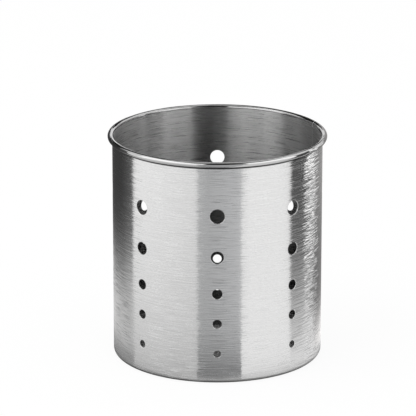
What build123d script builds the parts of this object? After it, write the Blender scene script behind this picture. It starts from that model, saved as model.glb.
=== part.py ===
"""Cutlery caddy in stainless sheet: a perforated sleeve with a wired rim, and a base pan welded in its foot.

The frame stands on the base: the origin is the centre of the standing ring, +Z is up, and -Y is the front,
where one column of holes faces the viewer.
"""

import os
from math import acos, degrees

from build123d import *

# Driving dimensions, in millimetres and degrees
height = 125.0  # standing ring to the top of the rim
rim_diameter = 120.0  # over the rolled rim
sheet = 0.6  # stainless sheet of the sleeve and of the base pan
wire_diameter = 1.3  # stiffening hoop inside the rolled rim
wire_clearance = 0.3  # hoop to the curl, which is rolled loosely over it
curl_gap = 0.15  # free edge of the curl to the outside of the wall
foot_bend = 2.4  # outside radius where the wall turns under
foot_flange = 6.0  # flat width of the standing ring

hole_columns = 8
hole_diameters = (4.0, 5.0, 5.6, 7.0, 8.0)  # bottom row to top row
first_row = 17.0  # centre of the bottom row above the standing ring
row_pitches = (17.0, 17.0, 20.5, 23.0)  # from each row to the next one up

seam_column = 2  # the butt joint stands midway from this column to the next, counted from the front
seam_width = 1.2  # weld metal between the two edges of the rolled sheet

pan_fit = 0.05  # pan lip to the inside of the wall, all round
pan_bend_ease = 0.5  # the pan's bend is this much rounder than the inside of the foot bend it lies in
pan_lip = 7.0  # height of the pan's edge above its underside
panel_diameter = 72.0  # raised middle of the pan, at its foot
panel_rise = 1.4  # the middle stands this high, so that water runs outwards
panel_slope = 3.0  # radial width of the step up to the middle
panel_round = 1.5  # rounding of the step, at the sheet's middle

drain_count = 8
drain_diameter = 5.0  # drain holes in the gutter round the raised middle

plug_count = 8
plug_diameter = 3.0  # weld plugs that hold the pan to the standing ring
plug_recess = 0.15  # the plugs stop short of the surface the caddy stands on

# Sizes that follow
curl_radius = wire_diameter / 2 + wire_clearance + sheet
curl_centre = rim_diameter / 2 - curl_radius
curl_height = height - curl_radius
wall_outside = curl_centre - curl_radius + sheet
wall_middle = wall_outside - sheet / 2
wall_inside = wall_outside - sheet
column_angle = 360 / hole_columns
row_heights = [first_row + sum(row_pitches[:row]) for row in range(len(hole_diameters))]
curl_reach = sheet + curl_gap - curl_radius  # radial place of the curl's free edge, from the curl's centre
curl_sweep = 180 + degrees(acos(curl_reach / curl_radius))
seam_angle = degrees(seam_width / wall_middle)
seam_place = (seam_column + 1 / 2) * column_angle - 90  # -90 degrees is the front
flange_inside = wall_outside - foot_bend - foot_flange
plug_radius = flange_inside + foot_flange / 2  # the plugs run round the middle of the standing ring
plug_start = seam_place + 180 / plug_count  # with the seam midway between two of them
drain_radius = (panel_diameter / 2 + flange_inside) / 2  # midway between the step and the standing ring
pan_outside = wall_inside - pan_fit
pan_bend = foot_bend - sheet + pan_bend_ease
pan_middle = sheet + sheet / 2  # height of the pan's gutter, at the sheet's middle


def upright(turn):
    """Upright plane through the axis: its local X is +X, and its normal the front, turned about the axis."""
    return Plane.XZ.rotated((0, 0, turn))


def sleeve_section(angle):
    """Section of the sleeve's sheet at an angle from +X: standing ring, foot bend, wall and rim curl."""
    bend = foot_bend - sheet / 2
    curl = curl_radius - sheet / 2
    with BuildSketch(upright(angle)) as section:
        with BuildLine():
            ring = Line((flange_inside, sheet / 2), (wall_middle - bend, sheet / 2))
            foot = JernArc(start=ring @ 1, tangent=ring % 1, radius=bend, arc_size=90)
            wall = Line(foot @ 1, (wall_middle, curl_height))
            JernArc(start=wall @ 1, tangent=wall % 1, radius=curl, arc_size=-curl_sweep)
        trace(line_width=sheet)
    return section.sketch


# Perforated sleeve: one sheet rolled round, curled over the hoop at the top and turned under at the foot
with BuildPart() as side_wall:
    revolve(sleeve_section(seam_place + seam_angle / 2), axis=Axis.Z, revolution_arc=360 - seam_angle)
    for column in range(hole_columns):
        with BuildSketch(upright(column * column_angle)):
            for row_height, diameter in zip(row_heights, hole_diameters):
                with Locations((0, row_height)):
                    Circle(diameter / 2)
        extrude(amount=rim_diameter / 2, mode=Mode.SUBTRACT)
    with BuildSketch():
        with PolarLocations(plug_radius, plug_count, start_angle=plug_start):
            Circle(plug_diameter / 2)
    extrude(amount=sheet, mode=Mode.SUBTRACT)
side_wall.part.label = "side_wall"

# Seam weld: the strip of metal that closes the sleeve, ground flush on both faces
with BuildPart() as seam_weld:
    revolve(sleeve_section(seam_place - seam_angle / 2), axis=Axis.Z, revolution_arc=seam_angle)
seam_weld.part.label = "seam_weld"

# Rim hoop: the round wire that the top edge is rolled over, with its own joint under the seam
with BuildPart() as rim_wire:
    with BuildSketch(upright(seam_place)):
        with Locations((curl_centre, curl_height)):
            Circle(wire_diameter / 2)
    revolve(axis=Axis.Z)
rim_wire.part.label = "rim_wire"

# Base pan: a pressed disc with a turned-up lip, a gutter with drain holes and a raised middle
with BuildPart() as base_pan:
    with BuildSketch(Plane.XZ):
        with BuildLine():
            step_foot = panel_diameter / 2
            panel = FilletPolyline(
                (0, pan_middle + panel_rise),
                (step_foot - panel_slope, pan_middle + panel_rise),
                (step_foot, pan_middle),
                (pan_outside - pan_bend, pan_middle),
                radius=panel_round,
            )
            turn = JernArc(start=panel @ 1, tangent=panel % 1, radius=pan_bend - sheet / 2, arc_size=90)
            Line(turn @ 1, (pan_outside - sheet / 2, sheet + pan_lip))
        trace(line_width=sheet)
    revolve(axis=Axis.Z)
    with BuildSketch():
        with PolarLocations(drain_radius, drain_count, start_angle=plug_start + 180 / drain_count):
            Circle(drain_diameter / 2)
    extrude(amount=pan_lip, mode=Mode.SUBTRACT)
base_pan.part.label = "base_pan"

# Weld plugs: weld metal in the holes of the standing ring, fused to the underside of the pan
with BuildPart() as plug_welds:
    with BuildSketch(Plane.XY.offset(plug_recess)):
        with PolarLocations(plug_radius, plug_count, start_angle=plug_start):
            Circle(plug_diameter / 2)
    extrude(amount=sheet - plug_recess)
plug_welds.part.label = "plug_welds"

os.makedirs("parts", exist_ok=True)
for piece in (side_wall, seam_weld, rim_wire, base_pan, plug_welds):
    export_step(piece.part, f"parts/{piece.part.label}.step")
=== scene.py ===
"""Looks of a perforated stainless caddy: brushed sleeve, ground seam, pressed pan and weld plugs.

Every piece of sheet is one closed surface: a section of even thickness carried round the axis, with the
holes set into it as cells. Lengths are in metres, and the front is -Y, as in the frame. Angles are in
radians, apart from those of the studio, which are in degrees to the right of the camera.
"""

import bpy
import numpy as np
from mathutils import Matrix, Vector


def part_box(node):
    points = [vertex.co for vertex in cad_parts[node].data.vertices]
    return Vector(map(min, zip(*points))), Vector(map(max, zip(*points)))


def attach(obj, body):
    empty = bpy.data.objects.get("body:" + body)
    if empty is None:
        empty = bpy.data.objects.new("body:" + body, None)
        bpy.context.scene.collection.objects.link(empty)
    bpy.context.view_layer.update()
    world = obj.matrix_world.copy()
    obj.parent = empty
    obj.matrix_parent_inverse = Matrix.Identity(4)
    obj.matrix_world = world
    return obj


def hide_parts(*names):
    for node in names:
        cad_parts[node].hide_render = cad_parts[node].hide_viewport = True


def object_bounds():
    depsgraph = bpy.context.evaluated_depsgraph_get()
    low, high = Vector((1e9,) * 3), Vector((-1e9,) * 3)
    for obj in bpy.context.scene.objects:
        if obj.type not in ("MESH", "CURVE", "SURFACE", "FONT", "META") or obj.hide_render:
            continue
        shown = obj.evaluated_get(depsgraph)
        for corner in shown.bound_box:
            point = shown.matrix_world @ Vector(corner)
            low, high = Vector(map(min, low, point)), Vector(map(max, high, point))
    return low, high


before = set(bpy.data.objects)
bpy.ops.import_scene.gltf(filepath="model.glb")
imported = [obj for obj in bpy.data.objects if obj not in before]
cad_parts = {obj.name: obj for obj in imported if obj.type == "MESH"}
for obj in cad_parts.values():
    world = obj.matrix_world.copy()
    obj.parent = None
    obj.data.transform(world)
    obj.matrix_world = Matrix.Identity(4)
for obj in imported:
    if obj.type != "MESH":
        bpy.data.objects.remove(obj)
cad_low, cad_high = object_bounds()

# Sheet and sleeve, at the sizes of the frame
HEIGHT = cad_high.z
RIM_RADIUS = 0.060
SHEET = 0.0006
HALF = SHEET / 2
CURL_RADIUS = 0.00155  # outside of the rolled rim
CURL_GAP = 0.00015  # free edge of the curl to the wall
FOOT_BEND = 0.0024  # outside radius where the wall turns under
FOOT_FLANGE = 0.006  # flat width of the standing ring
CURL_CENTRE = RIM_RADIUS - CURL_RADIUS
WALL_RADIUS = CURL_CENTRE - CURL_RADIUS + HALF  # middle of the wall's sheet
FLANGE_INSIDE = WALL_RADIUS + HALF - FOOT_BEND - FOOT_FLANGE

# Holes of the wall, from the bottom row up
COLUMNS = 8
FRONT = -np.pi / 2
COLUMN_STEP = 2 * np.pi / COLUMNS
ROW_HEIGHTS = np.array([0.017, 0.034, 0.051, 0.0715, 0.0945])
ROW_RADII = np.array([0.004, 0.005, 0.0056, 0.007, 0.008]) / 2
HOLE_EDGE = 0.00022  # rounding left by deburring

# Cells, the pieces of sheet that the holes are set in
CELL_BELOW = 0.0085  # from the bottom row's holes down to the edge of their cells
CELL_ABOVE = 0.0115  # from the top row's holes up to the edge of theirs
CELL_BETWEEN = (ROW_HEIGHTS[1:] + ROW_HEIGHTS[:-1]) / 2
CELL_EDGES = np.concatenate([[ROW_HEIGHTS[0] - CELL_BELOW], CELL_BETWEEN, [ROW_HEIGHTS[-1] + CELL_ABOVE]])
CELL_ANGLE = np.radians(9)  # half a cell's width, round the axis
CELL_CROWDING = 1.5  # how much the faces narrow towards the hole

# Faces along each stretch
CELL_STEPS = 12  # each side of a cell
EDGE_STEPS = 4  # rounded edge of a hole
STRIP_STEPS = 16  # plain strip from one column of cells to the next
BEND_STEPS = 8  # bends of the foot and of the pan
CURL_STEPS = 40
SEAM_STEPS = 8
PLUG_STEPS = 8  # from a plug's middle to its edge
PLUG_SIDES = 32

# Seam, midway between two columns at the back right
SEAM_ANGLE = FRONT + 2.5 * COLUMN_STEP
SEAM_WIDTH = 0.0012
SEAM_HALF = SEAM_WIDTH / 2 / WALL_RADIUS
SEAM_CROWN = 0.00003  # what the grinding leaves standing

# Base pan and weld plugs
PAN_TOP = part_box("base_pan")[1].z
PAN_FIT = 0.00005  # lip to the inside of the wall
PAN_RADIUS = WALL_RADIUS - SHEET - PAN_FIT  # middle of the lip's sheet
PAN_BEND = 0.002  # middle of the sheet where the lip turns up
PAN_FLOOR = SHEET + HALF
PANEL_RADIUS = 0.036  # raised middle, at the foot of its step
PANEL_RISE = 0.0014
PANEL_SLOPE = 0.003  # radial width of the step
PANEL_ROUND = 0.0015
DRAIN_RADIUS = 0.0025
DRAIN_CIRCLE = (PANEL_RADIUS + FLANGE_INSIDE) / 2
DRAIN_MARGIN = 0.0045  # from a drain hole's middle to the edge of its cell
PLUG_RADIUS = 0.0015
PLUG_CIRCLE = FLANGE_INSIDE + FOOT_FLANGE / 2
PLUG_MARGIN = 0.0024  # from a plug's middle to the edge of its cell
PLUG_RECESS = 0.00015  # from the table to the plug's middle
PLUG_CROWN = 0.0001

# Points closer than this are one point, on a grid that is shifted so that no round size lies on its lines
WELD = 1e-7
WELD_SHIFT = 0.31

# Lines in the steel: layers of (size along the section, size round the axis, share of the whole)
BRUSH_LAYERS = ((0.0003, 0.03, 0.45), (0.0007, 0.06, 0.4), (0.002, 0.3, 0.15))
RIDGE_LAYERS = ((0.0007, 0.015, 1.0),)
SWAY_LAYERS = ((0.0004, 0.014, 1.0),)
SCRATCH_LAYERS = ((0.00035, 0.012, 1.0),)
GRINDING_LAYERS = ((0.012, 0.00012, 1.0),)
LINE_RANGE = (0.3, 0.7)  # noise levels between which a line's grey and roughness change
STEEL_WARMTH = 0.002

# Finish of the sleeve's outside: its lines vary each pair from the first value to the second
SLEEVE_GREYS = (0.715, 0.775)
SLEEVE_ROUGHNESS = (0.12, 0.19)
SLEEVE_RELIEF = 0.00006  # depth of the bump
SLEEVE_ANISOTROPY = 1.0
SLEEVE_SWAY = 0.03  # sideways lean of the lines
SCRATCH_RANGE = (0.5, 0.7)  # noise levels at which a scratch starts and is at its roughest
SCRATCH_ROUGHNESS = 0.22
WORN_ANGLE = FRONT + 2 * np.pi + np.radians(66)  # middle of a worn strip, on the brushing map
WORN_HALF = np.radians(22)
WORN_RELIEF = 3.0  # on the worn strip, as a share of the relief elsewhere
WORN_SWAY = 14.0  # on the worn strip, as a share of the sway elsewhere

# Finish of its inside and of its rim, with painted shade inside towards the foot and a painted shade line
# below the rim
INSIDE_GREYS = (0.34, 0.82)  # brightness at the foot and at the top, as a share of the outside's; the fall towards the foot is painted shade
INSIDE_FADE = (0.04, 0.1)  # heights between which it changes
INSIDE_ROUGHNESS = 1.8  # as a share of the outside's
RIM_ROUGHNESS = 0.4  # as a share of the wall's
RIM_GREY = 0.74  # brightness, as a share of the wall's
RIM_FADE = CURL_RADIUS / 4  # along the section, below the curl
# Painted shade line on the outside of the wall below the curl, between these heights
CREVICE_BELOW = 0.0013  # from the underside of the curl down
CREVICE_ABOVE = 0.0001  # and up
CREVICE_FOOT = HEIGHT - 2 * CURL_RADIUS - CREVICE_BELOW
CREVICE_TOP = HEIGHT - 2 * CURL_RADIUS + CREVICE_ABOVE
CREVICE_FADE = 0.0004
CREVICE_SHADE_GREY = 0.03

# Finishes of the other pieces
PAN_GREYS = (0.54, 0.66)
PAN_ROUGHNESS = (0.2, 0.32)
PAN_RELIEF = 0.00002
PAN_ANISOTROPY = 0.3
SEAM_GREYS = (0.6, 0.74)
SEAM_ROUGHNESS = (0.24, 0.42)
SEAM_RELIEF = 0.000008
SEAM_ANISOTROPY = 0.5
WIRE_GREYS = (0.48, 0.62)
WIRE_ROUGHNESS = (0.2, 0.45)
WIRE_RELIEF = 0.000005
WIRE_LINES = 9000.0  # per metre of the section
WELD_MIDDLE = (0.51, 0.5, 0.49)
WELD_STRAW = (0.46, 0.38, 0.26)
WELD_BLUE = (0.24, 0.25, 0.33)
WELD_STRAW_PLACE = 0.7  # from the plug's middle to its edge
WELD_ROUGHNESS = (0.25, 0.5)
WELD_RELIEF = 0.00001
WELD_RIPPLES = 5
WELD_GRAIN = 2500.0  # per metre

# Camera, with the pixel of the photograph on which its target falls
CAMERA_TARGET = Vector((0, 0, 0.062))
CAMERA_DISTANCE = 1.788
CAMERA_ELEVATION = np.radians(17.67)
SENSOR = 36.0
LENS = 280.4
PHOTO_SIZE = 416
TARGET_PIXEL = (217.33, 242.25)

# Floor, surroundings and lamp
FLOOR_REACH = 12.0
FLOOR_DROP = 0.00005
FLOOR_GREY = 0.9
FLOOR_WHITE = 0.9  # share of plain white that the camera and reflections see
WORLD_GREY = 1.0
KEY_SIDE = -60
KEY_ELEVATION = 55
KEY_DISTANCE = 1.5
KEY_SIZE = 1.0
KEY_RADIANCE = 1.5

# Studio cards that the outside of the wall reflects
CARD_STEPS = 65  # points along a row
CARD_LIFT = 0.0004  # cards that lie on the floor
CARD_START = 0.064  # distance from the axis, just outside the foot
CARD_DISTANCE = 0.17  # of the upright cards
CARD_TOP = 0.17
STREAK_DISTANCE = 0.165  # of the bright card in front of them
FOOT_SHADOW_LEAN = 0.4  # how much brighter the card at the foot, a painted shadow on the floor, is at its right

# Studio cards that the inside reflects: distances from the axis, heights, levels and the angles they span
INNER_DISTANCE = 0.5
INNER_HALFWAY = 0.25
INNER_MIDDLE = 0.001
INNER_FOOT = 0.14
INNER_TOP = 0.6
FILL_LEVEL = 1.7
FILL_LEFT = (-85, -13)
FILL_RIGHT = (30, 85)
RIBBON_LEVEL = 0.02
RIBBON_FRONT = (-12, 29)
RIBBON_BACK = (154, 240)
RIBBON_BACK_FOOT = 0.28
ROOF = (-100, 100)

# Borders of the bands that the camera sees in the wall, in degrees to the right of the wall's middle
WALL_EDGE = 90.0
SHADE_SOFT = -64.0
SHADE_BORDER = -52.5
FRONT_LEFT = -10.8
FRONT_RIGHT = 13.2
PALE_BORDER = 43.6
STREAK_LEFT = 57.2
STREAK_RIGHT = 65.2
STREAK_START = 58.6
STREAK_STOPS = (61.8, 65.0, STREAK_RIGHT)  # from its foot up


def straight(start, stop, steps):
    """Straight run of a path: even points from start to stop, each with the run's direction."""
    start, stop = np.array(start), np.array(stop)
    ahead = (stop - start) / np.linalg.norm(stop - start)
    points = np.linspace(start, stop, steps + 1)
    return np.hstack([points, np.tile(ahead, (steps + 1, 1))])


def arc(centre, radius, start, stop, steps):
    """Round run of a path: centre plus radius times (cos, sin), with the direction square to that."""
    turn = np.linspace(start, stop, steps + 1)
    way = np.sign(stop - start)
    points = np.array(centre) + radius * np.stack([np.cos(turn), np.sin(turn)], 1)
    return np.hstack([points, way * np.stack([-np.sin(turn), np.cos(turn)], 1)])


def join(*runs):
    """Runs end to end as one path of (radius, height, direction), with the distance along it added."""
    path = np.concatenate([runs[0]] + [run[1:] for run in runs[1:]])
    steps = np.linalg.norm(np.diff(path[:, :2], axis=0), axis=1)
    return np.column_stack([path, np.concatenate([[0], np.cumsum(steps)])])


def sheet_section(path, rounded_start=True, round_steps=5):
    """Both faces of a sheet: the path moved by half the thickness to its right and to its left.

    A free end is a half round: its points turn about the path's end in even steps from face to face. Each
    face is rows of (radius, height, normal radius, normal height, distance along the path).
    """
    turns = np.pi / 2 - np.pi / round_steps * np.arange(1, (round_steps + 1) // 2)
    point, ahead, along = path[:, :2], path[:, 2:4], path[:, 4]
    right = np.stack([ahead[:, 1], -ahead[:, 0]], 1)
    faces = []
    for side in (1, -1):
        sides = np.sin(turns)[:, None] * side
        tip = np.cos(turns)[:, None]
        start = (sides * right[0] - tip * ahead[0])[::-1][: len(turns) * rounded_start]
        stop = sides * right[-1] + tip * ahead[-1]
        normal = np.concatenate([start, side * right, stop])
        added = (len(start), len(stop))
        place = np.pad(point, (added, (0, 0)), mode="edge")
        reach = np.pad(along, added, mode="edge")
        faces.append(np.column_stack([place + HALF * normal, normal, reach]))
    return faces


def turned(radial, sideways, height, angle):
    """Vectors with parts outwards, round the axis and upwards, turned to their angle about the axis."""
    cos, sin = np.cos(angle), np.sin(angle)
    across, behind = radial * cos - sideways * sin, radial * sin + sideways * cos
    return np.stack(np.broadcast_arrays(across, behind, height), -1)


def grid_faces(rows, columns, closed_rows=False):
    """Four corners of every face of a grid of points numbered row by row."""
    row = np.arange(rows if closed_rows else rows - 1)[:, None]
    column = np.arange(columns - 1)
    here, above = row * columns + column, (row + 1) % rows * columns + column
    return np.stack([here, here + 1, above + 1, above], -1)


def ring_angles(start, half_gap):
    """Middles of the columns, and angles once round, from a half gap after the start to one before it.

    The start is midway between two columns, and the angles run in even steps across each cell and across
    each plain strip between two cells.
    """
    centres = start + COLUMN_STEP * (np.arange(COLUMNS) + 0.5)
    knots = np.concatenate([[start + half_gap], np.ravel(centres[:, None] + [-CELL_ANGLE, CELL_ANGLE])])
    stops = np.append(knots[1:], start + 2 * np.pi - half_gap)
    steps = np.array([STRIP_STEPS, CELL_STEPS] * COLUMNS + [STRIP_STEPS])
    steps[[0, -1]] //= 2
    runs = [np.linspace(*ends, count, endpoint=False) for *ends, count in zip(knots, stops, steps)]
    return centres, np.append(np.concatenate(runs), stops[-1])


def outside_cells(faces, angles, centres, zones):
    """Which faces of a carried section stay: those in no cell, by distance along the path and by angle."""
    along = np.concatenate([faces[0], faces[1][::-1]])[:, 4]
    ends = np.stack([along, np.roll(along, -1)])
    slack = HALF / 100
    low, high = np.array(zones).T[..., None]
    in_zone = np.any((ends.min(0) > low - slack) & (ends.max(0) < high + slack), 0)
    middles = (angles[1:] + angles[:-1]) / 2
    in_cell = np.any(np.abs(middles[:, None] - centres) < CELL_ANGLE, 1)
    return ~(in_zone[:, None] & in_cell)


def carried_round(faces, angles, spread, keep=None, crown=(0, 0), pole=False):
    """Section carried round the axis: each point becomes a ring, its radius times (cos, sin) of the angle.

    keep tells which faces stay. crown is a height over the upright faces and its slope, for each angle. At a
    pole the section starts on the axis and isn't closed there.
    """
    loop = np.concatenate([faces[0], faces[1][::-1]])
    radius, height, out, up, along = (column[:, None] for column in loop.T)
    lift, slope = crown
    place = turned(radius + lift * out, 0, height + 0 * angles, angles)
    normal = turned(out, -slope * np.abs(out), up + 0 * angles, angles)
    brushing = np.stack(np.broadcast_arrays(along, spread * angles), -1)
    quads = grid_faces(len(loop), len(angles), closed_rows=True)
    kept = np.ones(quads.shape[:2], bool) if keep is None else keep
    kept[-1] &= not pole
    return place, normal, brushing, quads[kept]


def section_cap(faces, angle, facing):
    """Flat end of a section at an angle: a ladder of faces between the two rows of its points."""
    rows = np.stack(faces, 1)
    place = turned(rows[..., 0], 0, rows[..., 1], angle)
    normal = turned(0 * rows[..., 0], facing, 0 * rows[..., 0], angle)
    return place, normal, rows[..., :2], grid_faces(len(rows), 2).reshape(-1, 4)


def hole_cell(path, angle, zone, hole, radius, spread):
    """Piece of sheet around one hole: a profile carried round the hole, from the cell's border on one face,
    over the rounded edge and down the hole, to the border on the other face.

    On a face, a point is a mix of a point of the border and a point of the circle just outside the hole. On
    the rounded edge, the circle shrinks with the sine of a turn while the height falls with its cosine. Both
    the border and the circle start at the lower left corner.
    """
    ring, level, ahead_out, ahead_up = (np.interp(hole, path[:, 4], column) for column in path.T[:4])
    side, edge = np.arange(CELL_STEPS) / CELL_STEPS, np.ones(CELL_STEPS)
    share = np.concatenate([0 * edge, side, edge, 1 - side])
    beyond = zone[0] + share * (zone[1] - zone[0]) - hole
    across = np.concatenate([2 * side - 1, edge, 1 - 2 * side, -edge]) * CELL_ANGLE
    border = np.stack([across * (ring + beyond * ahead_out), beyond], -1)
    turn = 2 * np.pi * np.arange(len(across)) / len(across) - 3 * np.pi / 4
    ray = np.stack([np.cos(turn), np.sin(turn)], -1)

    reach = np.linspace(1, 0, CELL_STEPS // 2 + 1) ** CELL_CROWDING
    bend = np.linspace(0, np.pi / 2, EDGE_STEPS + 1)[1:]
    half_mix = np.concatenate([reach, 0 * bend])
    half_turn = np.concatenate([0 * reach, bend])
    mix = np.concatenate([half_mix, half_mix[::-1]])[:, None]
    inwards = np.sin(np.concatenate([half_turn, half_turn[::-1]]))[:, None]
    lift = np.concatenate([np.cos(half_turn), -np.cos(half_turn[::-1])])[:, None]
    face = np.repeat([1, -1], len(half_turn))[:, None]
    depth = face * (HALF - HOLE_EDGE) + lift * HOLE_EDGE

    circle = (radius + HOLE_EDGE * (1 - inwards))[..., None] * ray
    spot = mix[..., None] * border + (1 - mix[..., None]) * circle
    aside, ahead = spot[..., 0], spot[..., 1]
    at_radius = ring + ahead * ahead_out
    at_angle = angle + aside / at_radius
    height = level + ahead * ahead_up - depth * ahead_out
    place = turned(at_radius + depth * ahead_up, 0, height, at_angle)
    normal = turned(
        lift * ahead_up - inwards * ray[:, 1] * ahead_out,
        -inwards * ray[:, 0],
        -lift * ahead_out - inwards * ray[:, 1] * ahead_up,
        at_angle,
    )
    brushing = np.stack([hole + ahead, spread * at_angle], -1)
    quads = grid_faces(len(turn), len(mix), closed_rows=True).reshape(-1, 4)
    return place.swapaxes(0, 1), normal.swapaxes(0, 1), brushing.swapaxes(0, 1), quads


def make_piece(name, patches, material, node):
    """One mesh from patches of (points, normals, brushing map, faces).

    Shared points are welded, faces are turned to agree with their normals, and a face at a pole loses its
    doubled corner.
    """
    place = np.concatenate([patch[0].reshape(-1, 3) for patch in patches])
    normal = np.concatenate([patch[1].reshape(-1, 3) for patch in patches])
    brushing = np.concatenate([patch[2].reshape(-1, 2) for patch in patches])
    offsets = np.cumsum([0] + [patch[0].size // 3 for patch in patches])
    quads = np.concatenate([patch[3] + offset for patch, offset in zip(patches, offsets)])
    normal = normal / np.linalg.norm(normal, axis=1, keepdims=True)

    corners = place[quads]
    facing = np.cross(corners[:, 2] - corners[:, 0], corners[:, 3] - corners[:, 1])
    turned_in = np.sum(facing * normal[quads].sum(1), 1) < 0
    quads[turned_in] = quads[turned_in][:, ::-1]

    cells = np.floor(place / WELD + WELD_SHIFT).astype(np.int64)
    _, first, weld = np.unique(cells, axis=0, return_index=True, return_inverse=True)
    weld = weld.reshape(-1)
    doubled = weld[quads] == weld[np.roll(quads, -1, axis=1)]
    at_pole = doubled.any(1)
    spare = doubled[at_pole].argmax(1)
    triangles = np.take_along_axis(quads[at_pole], (spare[:, None] + 1 + np.arange(3)) % 4, 1)
    quads = quads[~at_pole]
    loops = np.concatenate([quads.ravel(), triangles.ravel()])

    mesh = bpy.data.meshes.new(name)
    mesh.from_pydata(place[first].tolist(), [], weld[quads].tolist() + weld[triangles].tolist())
    uv = mesh.uv_layers.new(name="brushing").uv
    uv.foreach_set("vector", brushing[loops].astype(np.float32).ravel())
    mesh.shade_smooth()
    mesh.normals_split_custom_set(normal[loops].tolist())
    mesh.materials.append(material)
    piece = bpy.data.objects.new(name, mesh)
    bpy.context.scene.collection.objects.link(piece)
    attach(piece, "root")
    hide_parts(node)


def sleeve_path():
    """Middle of the sleeve's sheet: standing ring, foot bend, wall with stops at the cells' edges, curl."""
    bend, curl = FOOT_BEND - HALF, CURL_RADIUS - HALF
    start, stop = FLANGE_INSIDE + HALF, WALL_RADIUS - bend
    plug_start, plug_stop = PLUG_CIRCLE - PLUG_MARGIN, PLUG_CIRCLE + PLUG_MARGIN
    wall = [(WALL_RADIUS, height) for height in CELL_EDGES]
    free_edge = -np.arccos((SHEET + CURL_GAP - CURL_RADIUS) / CURL_RADIUS) + HALF / curl
    return join(
        straight((start, HALF), (plug_start, HALF), steps=1),
        straight((plug_start, HALF), (plug_stop, HALF), CELL_STEPS),
        straight((plug_stop, HALF), (stop, HALF), steps=1),
        arc((stop, FOOT_BEND), bend, -np.pi / 2, 0, BEND_STEPS),
        straight((WALL_RADIUS, FOOT_BEND), wall[0], steps=4),
        *(straight(low, high, CELL_STEPS) for low, high in zip(wall, wall[1:])),
        straight(wall[-1], (WALL_RADIUS, HEIGHT - CURL_RADIUS), steps=8),
        arc((CURL_CENTRE, HEIGHT - CURL_RADIUS), curl, np.pi, free_edge, CURL_STEPS),
    )


def pan_path():
    """Middle of the pan's sheet, from the axis out: raised middle, rounded step, gutter, bend and lip."""
    tilt = np.arctan2(PANEL_RISE, PANEL_SLOPE)
    tangent = PANEL_ROUND * np.tan(tilt / 2)
    top, foot = PAN_FLOOR + PANEL_RISE, PAN_FLOOR
    brow, toe = PANEL_RADIUS - PANEL_SLOPE - tangent, PANEL_RADIUS + tangent
    fall = tangent * np.array([np.cos(tilt), -np.sin(tilt)])
    drain_start, drain_stop = DRAIN_CIRCLE - DRAIN_MARGIN, DRAIN_CIRCLE + DRAIN_MARGIN
    stop = PAN_RADIUS - PAN_BEND
    return join(
        straight((0, top), (brow, top), steps=16),
        arc((brow, top - PANEL_ROUND), PANEL_ROUND, np.pi / 2, np.pi / 2 - tilt, steps=4),
        straight((PANEL_RADIUS - PANEL_SLOPE, top) + fall, (PANEL_RADIUS, foot) - fall, steps=2),
        arc((toe, foot + PANEL_ROUND), PANEL_ROUND, -np.pi / 2 - tilt, -np.pi / 2, steps=4),
        straight((toe, foot), (drain_start, foot), steps=2),
        straight((drain_start, foot), (drain_stop, foot), CELL_STEPS),
        straight((drain_stop, foot), (stop, foot), steps=4),
        arc((stop, foot + PAN_BEND), PAN_BEND, -np.pi / 2, 0, BEND_STEPS),
        straight((PAN_RADIUS, foot + PAN_BEND), (PAN_RADIUS, PAN_TOP - HALF), steps=3),
    )


def make_sleeve(material):
    """Sleeve: its section carried round from one edge of the seam to the other, with cells for the holes."""
    path = sleeve_path()
    faces = sheet_section(path)
    centres, angles = ring_angles(SEAM_ANGLE, SEAM_HALF)
    wall_start = np.argmin(np.abs(path[:, 1] - CELL_EDGES[0]))
    along_wall = path[wall_start, 4] - CELL_EDGES[0]
    zones = np.stack([CELL_EDGES[:-1], CELL_EDGES[1:]], 1) + along_wall
    holes = list(zip(zones, ROW_HEIGHTS + along_wall, ROW_RADII))
    plug = PLUG_CIRCLE - path[0, 0]
    holes.append(((plug - PLUG_MARGIN, plug + PLUG_MARGIN), plug, PLUG_RADIUS))
    keep = outside_cells(faces, angles, centres, [zone for zone, _, _ in holes])
    patches = [carried_round(faces, angles, WALL_RADIUS, keep)]
    patches += [section_cap(faces, angles[0], -1.0), section_cap(faces, angles[-1], 1.0)]
    patches += [hole_cell(path, angle, *hole, WALL_RADIUS) for angle in centres for hole in holes]
    make_piece("sleeve", patches, material, "side_wall")


def make_seam(material):
    """Seam: the sleeve's section carried across the gap, with a low crown.

    The crown's height goes with 1 less the square of the share of the way from its middle to its edge.
    """
    faces = sheet_section(sleeve_path())
    angles = SEAM_ANGLE + SEAM_HALF * np.linspace(-1, 1, SEAM_STEPS + 1)
    share = (angles - SEAM_ANGLE) / SEAM_HALF
    crown = SEAM_CROWN * (1 - share**2), -2 * SEAM_CROWN * share / (SEAM_HALF * WALL_RADIUS)
    patches = [carried_round(faces, angles, WALL_RADIUS, crown=crown)]
    patches += [section_cap(faces, angles[0], -1.0), section_cap(faces, angles[-1], 1.0)]
    make_piece("seam_bead", patches, material, "seam_weld")


def make_pan(material):
    """Pan: its section carried once round from a pole on the axis, with a cell for each drain hole."""
    path = pan_path()
    faces = sheet_section(path, rounded_start=False)
    centres, angles = ring_angles(FRONT, 0)
    drain = np.interp(DRAIN_CIRCLE, path[:, 0], path[:, 4])
    zone = (drain - DRAIN_MARGIN, drain + DRAIN_MARGIN)
    keep = outside_cells(faces, angles, centres, [zone])
    patches = [carried_round(faces, angles, PAN_RADIUS, keep, pole=True)]
    patches += [hole_cell(path, angle, zone, drain, DRAIN_RADIUS, PAN_RADIUS) for angle in centres]
    make_piece("pan", patches, material, "base_pan")


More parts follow.
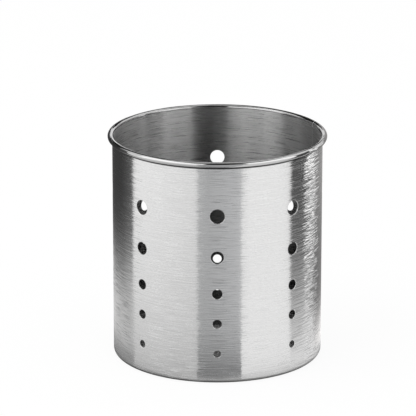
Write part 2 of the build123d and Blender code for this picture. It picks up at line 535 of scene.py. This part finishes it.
def make_plugs(material):
    """Weld plugs: each a button whose underside rises with the square of the distance from its middle."""
    share = np.linspace(0, 1, PLUG_STEPS + 1)[:, None]
    turn = np.linspace(0, 2 * np.pi, PLUG_SIDES + 1)
    crown = PLUG_RECESS + PLUG_CROWN * share**2
    rims = np.array([crown[-1], [SHEET]])
    surfaces = (
        (share, crown, 2 * PLUG_CROWN * share / PLUG_RADIUS, -1.0),
        (np.ones((2, 1)), rims, 1.0, 0.0),
        (share[::-1], np.full_like(share, SHEET), 0.0, 1.0),
    )
    patches = []
    for angle in SEAM_ANGLE + COLUMN_STEP * (np.arange(COLUMNS) + 0.5):
        for reach, height, out, up in surfaces:
            side, ahead = reach * PLUG_RADIUS * np.cos(turn), reach * PLUG_RADIUS * np.sin(turn)
            place = turned(PLUG_CIRCLE + ahead, side, height, angle)
            flat = np.ones_like(ahead)
            normal = turned(out * np.sin(turn) * flat, out * np.cos(turn) * flat, up * flat, angle)
            brushing = np.stack([ahead, side], -1)
            patches.append((place, normal, brushing, grid_faces(*ahead.shape).reshape(-1, 4)))
    make_piece("plug_beads", patches, material, "plug_welds")


def add(tree, kind, values=None, **settings):
    """New shader node with its settings, and its inputs set to plain values or wired from other outputs."""
    node = tree.nodes.new("ShaderNode" + kind)
    for name, setting in settings.items():
        setattr(node, name, setting)
    for socket, value in (values or {}).items():
        if isinstance(value, bpy.types.NodeSocket):
            tree.links.new(value, node.inputs[socket])
        else:
            node.inputs[socket].default_value = value
    return node


def calc(tree, operation, first, second=0.0):
    """Result of an operation on one or two values."""
    return add(tree, "Math", {0: first, 1: second}, operation=operation).outputs[0]


def fade(tree, value, start, stop, low=0.0, high=1.0, **settings):
    """Value that goes from low to high while another goes from start to stop, and is level outside that."""
    ends = {"Value": value, "From Min": start, "From Max": stop, "To Min": low, "To Max": high}
    return add(tree, "MapRange", ends, **settings).outputs["Result"]


def mixed(tree, share, colour, other, blend_type):
    """Colour blended with another by a share: sockets 6 and 7 take colours, and output 2 gives one."""
    sides = {0: share, 6: colour, 7: other}
    return add(tree, "Mix", sides, data_type="RGBA", blend_type=blend_type).outputs[2]


def parts_of(tree, vector):
    """X, Y and Z of a vector."""
    return add(tree, "SeparateXYZ", {"Vector": vector}).outputs


def brushing_map(tree):
    """Place on the sheet: the distance along its section and the distance round the axis."""
    return add(tree, "UVMap", uv_map="brushing").outputs["UV"]


def object_place(tree):
    """Place in the frame."""
    return add(tree, "TexCoord").outputs["Object"]


def section_place(tree):
    """Distance from the axis and height, as two values."""
    parts = parts_of(tree, object_place(tree))
    flat = add(tree, "CombineXYZ", {"X": parts["X"], "Y": parts["Y"]}).outputs["Vector"]
    reach = add(tree, "VectorMath", {0: flat}, operation="LENGTH").outputs["Value"]
    return reach, parts["Z"]


def disc_place(tree):
    """Place on a disc: the distance along its section, then X and Y, so that lines close round the axis."""
    along = parts_of(tree, brushing_map(tree))["X"]
    parts = parts_of(tree, object_place(tree))
    return add(tree, "CombineXYZ", {"X": along, "Y": parts["X"], "Z": parts["Y"]}).outputs["Vector"]


def grey(level, warmth=0.0):
    """Grey of a level, a little warmer or colder."""
    return level * (1 + warmth), level, level * (1 - warmth)


def ramp(tree, factor, *stops):
    """Colour ramp from (place, colour) stops."""
    node = add(tree, "ValToRGB", {"Fac": factor})
    elements = node.color_ramp.elements
    while len(elements) < len(stops):
        elements.new(1.0)
    for element, (place, colour) in zip(elements, stops):
        element.position = place
        element.color = (*colour, 1.0)
    return node.outputs["Color"]


def grey_ramp(tree, factor, greys, warmth=0.0):
    """Colour ramp between two greys, over the range of the lines."""
    return ramp(tree, factor, *((place, grey(level, warmth)) for place, level in zip(LINE_RANGE, greys)))


def noise(tree, place, detail, scale=1.0, dimensions="2D"):
    """Noise at a place, with its scale and its detail."""
    settings = {"Vector": place, "Scale": scale, "Detail": detail}
    return add(tree, "TexNoise", settings, noise_dimensions=dimensions).outputs["Fac"]


def hairlines(tree, layers, place, detail, dimensions="2D"):
    """Fine lines: noise stretched by each layer's sizes, and the layers added up by their shares."""
    total = 0.0
    for along, around, share in layers:
        scale = (1 / along, 1 / around, 1 / around)
        stretched = add(tree, "Mapping", {"Vector": place, "Scale": scale}).outputs["Vector"]
        lines = noise(tree, stretched, detail, dimensions=dimensions)
        total = calc(tree, "ADD", total, calc(tree, "MULTIPLY", lines, share))
    return total


def new_steel(name, anisotropy=0.0):
    """New metal material, its node tree and its shader."""
    material = bpy.data.materials.new(name)
    material.use_nodes = True
    shader = material.node_tree.nodes["Principled BSDF"]
    shader.inputs["Metallic"].default_value = 1.0
    shader.inputs["Anisotropic"].default_value = anisotropy
    return material, material.node_tree, shader


def set_finish(tree, shader, colour, roughness, bump):
    """Wires a colour, a roughness and a bump into the shader."""
    tree.links.new(colour, shader.inputs["Base Color"])
    tree.links.new(roughness, shader.inputs["Roughness"])
    tree.links.new(add(tree, "Bump", bump).outputs["Normal"], shader.inputs["Normal"])


def follow_brushing(tree, shader):
    """Spreads reflections across the brushing lines: the tangent runs along the section."""
    tangent = add(tree, "Tangent", direction_type="UV_MAP", uv_map="brushing")
    tree.links.new(tangent.outputs["Tangent"], shader.inputs["Tangent"])


def worn(tree, measure, share):
    """Measure of the sleeve's lines, times a share on a worn strip up the wall, fading to both sides."""
    around = parts_of(tree, brushing_map(tree))["Y"]
    aside = calc(tree, "ABSOLUTE", calc(tree, "SUBTRACT", around, WALL_RADIUS * WORN_ANGLE))
    reach = WALL_RADIUS * WORN_HALF
    return fade(tree, aside, 0.0, reach, share * measure, measure, interpolation_type="SMOOTHSTEP")


def swayed_normal(tree):
    """Normal that leans to either side along each line, by the sway times the noise less a half."""
    lines = hairlines(tree, SWAY_LAYERS, brushing_map(tree), detail=1.0)
    lean = calc(tree, "MULTIPLY", calc(tree, "SUBTRACT", lines, 0.5), worn(tree, SLEEVE_SWAY, WORN_SWAY))
    upright = {"Red": 0.5, "Green": calc(tree, "ADD", lean, 0.5), "Blue": 1.0}
    colour = add(tree, "CombineColor", upright).outputs["Color"]
    return add(tree, "NormalMap", {"Color": colour}, uv_map="brushing").outputs["Normal"]


def sleeve_inside(tree):
    """1 on the sleeve's inside, nearer to the axis than the sheet's middle and above the ring, else 0."""
    reach, height = section_place(tree)
    within = calc(tree, "LESS_THAN", reach, WALL_RADIUS)
    return calc(tree, "MULTIPLY", within, calc(tree, "GREATER_THAN", height, SHEET))


def rim_share(tree, share):
    """1 on the wall and a share of that on the rolled rim, by the distance along the section."""
    along = parts_of(tree, brushing_map(tree))["X"]
    curl_start = sleeve_path()[-CURL_STEPS - 1, 4]
    return fade(tree, along, curl_start - RIM_FADE, curl_start, 1.0, share)


def sleeve_tone(tree, colour):
    """Colour of the sleeve: darker inside with painted shade towards the foot, greyer on the rim, painted
    shade below the curl.
    """
    inside = sleeve_inside(tree)
    _, height = section_place(tree)
    # Darker inside than out, with painted shade that deepens towards the foot
    inside_tone_and_shade = fade(tree, height, *INSIDE_FADE, *INSIDE_GREYS)
    colour = mixed(tree, inside, colour, inside_tone_and_shade, "MULTIPLY")
    colour = mixed(tree, 1.0, colour, rim_share(tree, RIM_GREY), "MULTIPLY")
    # Painted shade: a dark line on the outside of the wall just below the curl
    above = fade(tree, height, CREVICE_FOOT, CREVICE_FOOT + CREVICE_FADE)
    below = fade(tree, height, CREVICE_TOP + CREVICE_FADE, CREVICE_TOP)
    outside = calc(tree, "SUBTRACT", 1.0, inside)
    line = calc(tree, "MULTIPLY", calc(tree, "MULTIPLY", above, below), outside)
    return mixed(tree, line, colour, (*grey(CREVICE_SHADE_GREY), 1), "MIX")


def sleeve_roughness(tree, roughness):
    """Roughness of the sleeve: more on scratches and inside, less on the rim."""
    scratches = hairlines(tree, SCRATCH_LAYERS, brushing_map(tree), detail=1.0)
    added = fade(tree, scratches, *SCRATCH_RANGE, 0.0, SCRATCH_ROUGHNESS)
    rougher = fade(tree, sleeve_inside(tree), 0.0, 1.0, 1.0, INSIDE_ROUGHNESS)
    roughness = calc(tree, "MULTIPLY", calc(tree, "ADD", roughness, added), rougher)
    return calc(tree, "MULTIPLY", roughness, rim_share(tree, RIM_ROUGHNESS))


def sleeve_steel():
    """Brushed sheet: lines round the wall set its grey and roughness, and ridges and sway its normal."""
    material, tree, shader = new_steel("brushed_sheet", SLEEVE_ANISOTROPY)
    place = brushing_map(tree)
    lines = hairlines(tree, BRUSH_LAYERS, place, detail=2.0)
    colour = sleeve_tone(tree, grey_ramp(tree, lines, SLEEVE_GREYS, STEEL_WARMTH))
    roughness = sleeve_roughness(tree, fade(tree, lines, *LINE_RANGE, *SLEEVE_ROUGHNESS))
    ridges = hairlines(tree, RIDGE_LAYERS, place, detail=0.0)
    relief = worn(tree, SLEEVE_RELIEF, WORN_RELIEF)
    bump = {"Height": ridges, "Distance": relief, "Normal": swayed_normal(tree)}
    set_finish(tree, shader, colour, roughness, bump)
    follow_brushing(tree, shader)
    return material


def pan_steel():
    """Pressed sheet: satin lines round the pan that set its grey and roughness, with low ridges."""
    material, tree, shader = new_steel("pressed_sheet", PAN_ANISOTROPY)
    place = disc_place(tree)
    lines = hairlines(tree, BRUSH_LAYERS, place, detail=2.0, dimensions="3D")
    colour = grey_ramp(tree, lines, PAN_GREYS, STEEL_WARMTH)
    roughness = fade(tree, lines, *LINE_RANGE, *PAN_ROUGHNESS)
    ridges = hairlines(tree, RIDGE_LAYERS, place, detail=0.0, dimensions="3D")
    set_finish(tree, shader, colour, roughness, {"Height": ridges, "Distance": PAN_RELIEF})
    follow_brushing(tree, shader)
    return material


def seam_steel():
    """Ground seam: grinding marks up and down the seam that set its grey, its roughness and its bump."""
    material, tree, shader = new_steel("ground_seam", SEAM_ANISOTROPY)
    marks = hairlines(tree, GRINDING_LAYERS, brushing_map(tree), detail=3.0)
    colour = grey_ramp(tree, marks, SEAM_GREYS)
    roughness = fade(tree, marks, 0.0, 1.0, *SEAM_ROUGHNESS)
    set_finish(tree, shader, colour, roughness, {"Height": marks, "Distance": SEAM_RELIEF})
    return material


def wire_steel():
    """Drawn wire: die lines round the hoop, as noise on the distance from the axis and the height."""
    material, tree, shader = new_steel("drawn_wire")
    reach, height = section_place(tree)
    section = add(tree, "CombineXYZ", {"X": reach, "Y": height}).outputs["Vector"]
    lines = noise(tree, section, detail=2.0, scale=WIRE_LINES)
    colour = grey_ramp(tree, lines, WIRE_GREYS)
    roughness = fade(tree, lines, 0.0, 1.0, *WIRE_ROUGHNESS)
    set_finish(tree, shader, colour, roughness, {"Height": lines, "Distance": WIRE_RELIEF})
    return material


def weld_steel():
    """Weld plugs: ripples in rings about each plug's middle, and a heat tint of straw, then blue outside."""
    material, tree, shader = new_steel("weld_metal")
    place = brushing_map(tree)
    reach = add(tree, "VectorMath", {0: place}, operation="LENGTH").outputs["Value"]
    share = fade(tree, reach, 0.0, PLUG_RADIUS)
    colour = ramp(tree, share, (0.0, WELD_MIDDLE), (WELD_STRAW_PLACE, WELD_STRAW), (1.0, WELD_BLUE))
    grain = noise(tree, place, detail=4.0, scale=WELD_GRAIN)
    roughness = fade(tree, grain, 0.0, 1.0, *WELD_ROUGHNESS)
    ripple = calc(tree, "SINE", calc(tree, "MULTIPLY", share, 2 * np.pi * WELD_RIPPLES))
    bump = {"Height": calc(tree, "ADD", ripple, grain), "Distance": WELD_RELIEF}
    set_finish(tree, shader, colour, roughness, bump)
    return material


def stage_material(name):
    """New material for the stage, its node tree and the input that takes its surface."""
    material = bpy.data.materials.new(name)
    material.use_nodes = True
    return material, material.node_tree, material.node_tree.nodes["Material Output"].inputs["Surface"]


def floor_material():
    """Pale floor: mostly plain white to camera, glossy and transmission rays, and clear from below.

    The rest of it is lit, and takes a soft shadow.
    """
    material, tree, surface = stage_material("pale_floor")
    path = add(tree, "LightPath").outputs
    seen = calc(tree, "MAXIMUM", path["Is Camera Ray"], path["Is Glossy Ray"])
    seen = calc(tree, "MAXIMUM", seen, path["Is Transmission Ray"])
    share = calc(tree, "MULTIPLY", seen, FLOOR_WHITE)
    lit = add(tree, "BsdfDiffuse", {"Color": (*grey(FLOOR_GREY), 1)}).outputs["BSDF"]
    plain = add(tree, "Emission", {"Color": (1, 1, 1, 1)}).outputs["Emission"]
    top = add(tree, "MixShader", {0: share, 1: lit, 2: plain}).outputs["Shader"]
    clear = add(tree, "BsdfTransparent").outputs["BSDF"]
    below = add(tree, "NewGeometry").outputs["Backfacing"]
    tree.links.new(add(tree, "MixShader", {0: below, 1: top, 2: clear}).outputs["Shader"], surface)
    return material


def make_floor():
    """Floor: a flat square just under the caddy."""
    corners = np.array([[-1, -1, 0], [1, -1, 0], [1, 1, 0], [-1, 1, 0]]) * FLOOR_REACH
    corners = corners - (0, 0, FLOOR_DROP)
    mesh = bpy.data.meshes.new("floor")
    mesh.from_pydata(corners.tolist(), [], [(0, 1, 2, 3)])
    mesh.materials.append(floor_material())
    floor = bpy.data.objects.new("floor", mesh)
    bpy.context.scene.collection.objects.link(floor)


def light_world():
    """Even white surroundings."""
    world = bpy.data.worlds.new("studio")
    world.use_nodes = True
    world.node_tree.nodes["Background"].inputs["Color"].default_value = (*grey(WORLD_GREY), 1)
    bpy.context.scene.world = world


def make_key_light():
    """Soft square light that points at the caddy from the upper left."""
    turn, rise = FRONT + np.radians(KEY_SIDE), np.radians(KEY_ELEVATION)
    way = Vector(turned(np.cos(rise), 0, np.sin(rise), turn))
    light = bpy.data.lights.new("key", "AREA")
    light.size = KEY_SIZE
    light.energy = np.pi * KEY_SIZE**2 * KEY_RADIANCE
    lamp = bpy.data.objects.new("key", light)
    lamp.location = CAMERA_TARGET + KEY_DISTANCE * way
    lamp.rotation_euler = (-way).to_track_quat("-Z", "Y").to_euler()
    bpy.context.scene.collection.objects.link(lamp)


def card_material():
    """Plain card whose colour is the shade held at its points."""
    material, tree, surface = stage_material("studio_card")
    shade = add(tree, "Attribute", attribute_name="shade").outputs["Color"]
    tree.links.new(add(tree, "Emission", {"Color": shade}).outputs["Emission"], surface)
    return material


def lying(*rows):
    """Rows of a card that lies on the floor, from (distance from the axis, grey level)."""
    return [(distance, CARD_LIFT, level) for distance, level in rows]


def standing(distance, *rows):
    """Rows of an upright card at a distance from the axis, from (height, grey level)."""
    return [(distance, height, level) for height, level in rows]


def make_card(name, material, across, behind, rows, tint):
    """Studio card that only reflections see: a grid with a row of points for each (distance, height, level).

    A point's colour is its row's level times the tint of its place along the row.
    """
    _, height, level = np.array(rows).T[..., None]
    place = np.stack(np.broadcast_arrays(across, behind, height), -1)
    shade = np.ones((*place.shape[:2], 4), np.float32)
    shade[..., :3] = level[..., None] * tint
    faces = grid_faces(*place.shape[:2]).reshape(-1, 4)
    mesh = bpy.data.meshes.new(name)
    mesh.from_pydata(place.reshape(-1, 3).tolist(), [], faces.tolist())
    mesh.attributes.new("shade", "FLOAT_COLOR", "POINT").data.foreach_set("color", shade.ravel())
    mesh.materials.append(material)
    card = bpy.data.objects.new(name, mesh)
    bpy.context.scene.collection.objects.link(card)
    card.visible_camera = False
    card.visible_diffuse = False
    card.visible_shadow = False


def mirrored_card(name, material, seen, rows, first_tint=(1, 1, 1), last_tint=(1, 1, 1), falloff=1):
    """Card that stands where the camera sees it in the wall, between two angles, of which the second may be
    given row by row.

    The sight line that meets the wall at an angle leaves it at twice that angle, and each row of the card is
    where such lines reach the row's distance from the axis. The tint goes from the first to the last, and
    faster at first with a larger falloff.
    """
    wall = np.radians(np.linspace(*seen, CARD_STEPS, axis=-1))
    distance = np.array(rows)[:, :1]
    radius = WALL_RADIUS + HALF
    reach = np.sqrt(distance**2 - (radius * np.sin(wall)) ** 2) - radius * np.cos(wall)
    across = radius * np.sin(wall) + reach * np.sin(2 * wall)
    behind = -radius * np.cos(wall) - reach * np.cos(2 * wall)
    share = np.linspace(1, 0, CARD_STEPS)[:, None] ** falloff
    tint = share * first_tint + (1 - share) * last_tint
    make_card(name, material, across, behind, rows, tint)


def round_card(name, material, span, rows, lean=0.0):
    """Card round the axis between two angles. Its tint is 1 plus lean times the sine of the angle."""
    turn = np.radians(np.linspace(*span, CARD_STEPS))
    distance = np.array(rows)[:, :1]
    tint = 1 + lean * np.sin(turn)[:, None]
    make_card(name, material, distance * np.sin(turn), -distance * np.cos(turn), rows, tint)


def make_left_cards(material):
    """Cards for the left of the wall: a dark band with a soft right border, and the pale band beside it."""
    shade = standing(CARD_DISTANCE, (0, 0.45), (0.012, 0.27), (0.03, 0.09), (0.05, 0.055), (CARD_TOP, 0.045))
    bright = (3.7, 3.6, 3.6)
    mirrored_card("card_left", material, (-WALL_EDGE, SHADE_SOFT), shade, first_tint=bright, falloff=5)
    soft = (2.3, 2.3, 2.3)
    mirrored_card("card_left_soft", material, (SHADE_SOFT, SHADE_BORDER), shade, last_tint=soft)
    # Verge and veil lie on the floor and are darker near the foot: painted shadow of the caddy on the floor
    # that reflections see
    verge = lying((CARD_START, 0.25), (0.08, 0.6), (0.1, 0.68), (0.13, 0.66), (0.169, 0.55))
    tints = (1.15, 1.15, 1.15), (0.9, 0.9, 0.9)
    mirrored_card("card_verge", material, (-WALL_EDGE, SHADE_BORDER), verge, *tints)
    veil = lying((CARD_START, 0.57), (0.082, 0.66), (0.106, 0.75), (0.152, 0.82), (0.206, 0.93))
    veil += lying((0.343, 1.03), (0.6, 1.08)) + standing(0.6, (0.3, 1.08))
    mirrored_card("card_veil", material, (SHADE_BORDER, FRONT_LEFT), veil, last_tint=(0.79, 0.79, 0.79))


def make_front_cards(material):
    """Cards for the front of the wall: a grey band, and the pale band to its right."""
    # The rows on the floor, here and in the pale card, are darker near the foot: painted shadow of the caddy
    # on the floor that reflections see
    front = lying((CARD_START, 0.17), (0.082, 0.21), (0.106, 0.34), (0.152, 0.49), (0.4, 0.51))
    front += standing(0.4, (0.2, 0.55))
    tints = (0.94, 0.95, 0.96), (1.24, 1.25, 1.27)
    mirrored_card("card_camera", material, (FRONT_LEFT, FRONT_RIGHT), front, *tints)
    pale = lying((CARD_START, 0.66), (0.072, 0.9), (0.09, 1.0))
    mirrored_card("card_pale", material, (FRONT_RIGHT, PALE_BORDER), pale)


def make_right_cards(material):
    """Cards for the right of the wall: a dark band, a bright streak that narrows downwards, a grey edge."""
    right = lying((CARD_START, 0.95), (0.1, 0.82), (0.14, 0.65), (CARD_DISTANCE, 0.48))
    right += standing(CARD_DISTANCE, (0.02, 0.22), (0.044, 0.11), (CARD_TOP, 0.075))
    mirrored_card("card_right", material, (PALE_BORDER, STREAK_LEFT), right)
    between = lying((CARD_START, 1.0), (0.13, 0.9), (CARD_DISTANCE, 0.6))
    between += standing(CARD_DISTANCE, (0.01, 0.05), (CARD_TOP, 0.05))
    mirrored_card("card_between", material, (STREAK_LEFT, STREAK_RIGHT), between)
    streak = standing(STREAK_DISTANCE, (0.004, 1.7), (0.05, 1.55), (CARD_TOP, 1.5))
    mirrored_card("card_streak", material, (STREAK_START, STREAK_STOPS), streak)
    edge = lying((CARD_START, 0.82), (0.09, 0.64), (0.11, 0.34), (0.13, 0.2), (CARD_DISTANCE, 0.17))
    edge += standing(CARD_DISTANCE, (0.03, 0.18), (0.06, 0.26), (CARD_TOP, 0.26))
    mirrored_card("card_edge", material, (STREAK_RIGHT, WALL_EDGE), edge, last_tint=(1.75, 1.7, 1.68))


def make_round_cards(material):
    """Cards for the foot bend, a painted shadow on the floor round the foot, and for the inside: two dark
    ribbons, two bright fills and a dim roof.
    """
    # Painted shadow: a dark ring on the floor round the foot, lighter to the right, that only reflections
    # see
    foot = lying((0.050, 0.1), (0.058, 0.2), (CARD_START, 0.7))
    round_card("foot_shadow_card", material, (-180, 180), foot, FOOT_SHADOW_LEAN)
    ribbon = standing(INNER_DISTANCE, (INNER_FOOT, RIBBON_LEVEL), (INNER_TOP, RIBBON_LEVEL))
    ribbon += standing(INNER_MIDDLE, (INNER_TOP, RIBBON_LEVEL))
    round_card("ribbon_front", material, RIBBON_FRONT, ribbon)
    ribbon = standing(INNER_DISTANCE, (RIBBON_BACK_FOOT, RIBBON_LEVEL), (INNER_TOP, RIBBON_LEVEL))
    ribbon += standing(INNER_HALFWAY, (INNER_TOP, RIBBON_LEVEL))
    round_card("ribbon_back", material, RIBBON_BACK, ribbon)
    fill = standing(INNER_DISTANCE, (INNER_FOOT, FILL_LEVEL), (INNER_TOP, FILL_LEVEL))
    round_card("fill_right", material, FILL_RIGHT, fill)
    round_card("fill_left", material, FILL_LEFT, fill)
    roof = [(INNER_DISTANCE, 0.68, 0.25), (INNER_HALFWAY, 0.75, 0.15), (INNER_MIDDLE, 0.8, 0.1)]
    round_card("overhead", material, ROOF, roof)


def make_camera():
    """Camera on a circle about the target, turned so that the target falls on its pixel of the photo."""
    level = Vector((0, -np.cos(CAMERA_ELEVATION), np.sin(CAMERA_ELEVATION)))
    sideways = Vector((1, 0, 0))
    upwards = level.cross(sideways)
    pixel = CAMERA_DISTANCE * SENSOR / LENS / PHOTO_SIZE
    right, down = (spot - PHOTO_SIZE / 2 for spot in TARGET_PIXEL)
    aim = CAMERA_TARGET + pixel * (down * upwards - right * sideways)
    data = bpy.data.cameras.new("camera")
    data.sensor_width = SENSOR
    data.lens = LENS
    camera = bpy.data.objects.new("camera", data)
    camera.location = CAMERA_TARGET + CAMERA_DISTANCE * level
    camera.rotation_euler = (aim - camera.location).to_track_quat("-Z", "Y").to_euler()
    bpy.context.scene.collection.objects.link(camera)
    bpy.context.scene.camera = camera


# The caddy
make_sleeve(sleeve_steel())
make_seam(seam_steel())
make_pan(pan_steel())
make_plugs(weld_steel())
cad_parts["rim_wire"].material_slots[0].material = wire_steel()

# The stage
make_camera()
make_floor()
light_world()
make_key_light()
card_paint = card_material()
make_left_cards(card_paint)
make_front_cards(card_paint)
make_right_cards(card_paint)
make_round_cards(card_paint)
bpy.context.scene.view_settings.view_transform = "Standard"
